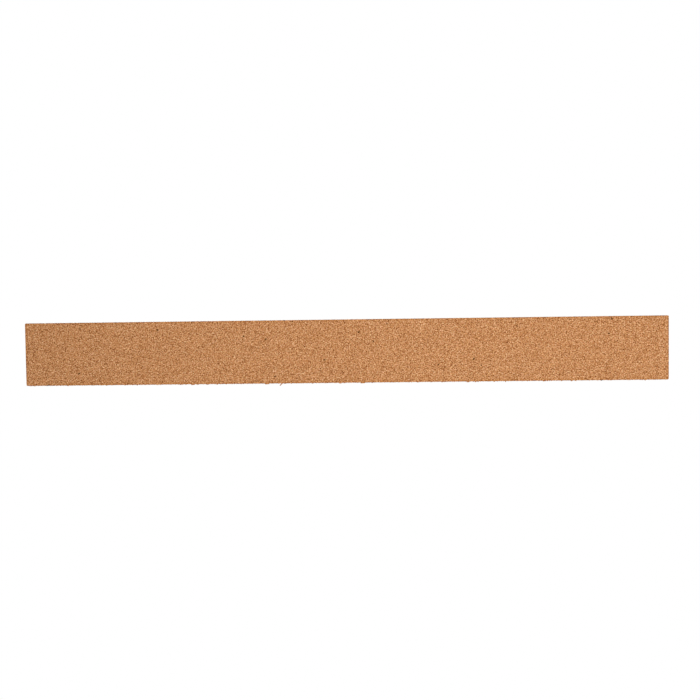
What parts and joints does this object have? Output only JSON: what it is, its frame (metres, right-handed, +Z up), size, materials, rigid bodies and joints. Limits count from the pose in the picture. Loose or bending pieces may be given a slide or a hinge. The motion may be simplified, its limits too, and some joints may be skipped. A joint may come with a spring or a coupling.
{
  "type": "steel ruler",
  "caption": "Flat steel ruler with a cork backing, an inch scale along one edge and a centimetre scale along the other, for measuring and as a guide for cutting.",
  "frame": {"origin": "middle of the cork's underside, the face the ruler rests on in use", "axes": "+X along the ruler from the zero end to the 12 inch end, +Y towards the edge with the inch scale, +Z up out of the engraved steel face"},
  "size_m": [0.3048, 0.03, 0.0025],
  "materials": {
    "steel": "satin",
    "adhesive": "satin",
    "cork": "matte",
    "scale_paint": "satin"
  },
  "bodies": {
    "root": {"steel_blade": "steel", "adhesive_film": "adhesive", "cork_backing": "cork", "mm_line_fill": "scale_paint", "five_mm_line_fill": "scale_paint", "cm_line_fill": "scale_paint", "cm_numeral_fill": "scale_paint", "cm_name_fill": "scale_paint", "sixteenth_inch_line_fill": "scale_paint", "eighth_inch_line_fill": "scale_paint", "quarter_inch_line_fill": "scale_paint", "half_inch_line_fill": "scale_paint", "inch_line_fill": "scale_paint", "inch_numeral_fill": "scale_paint", "inch_name_fill": "scale_paint"}
  },
  "joints": []
}
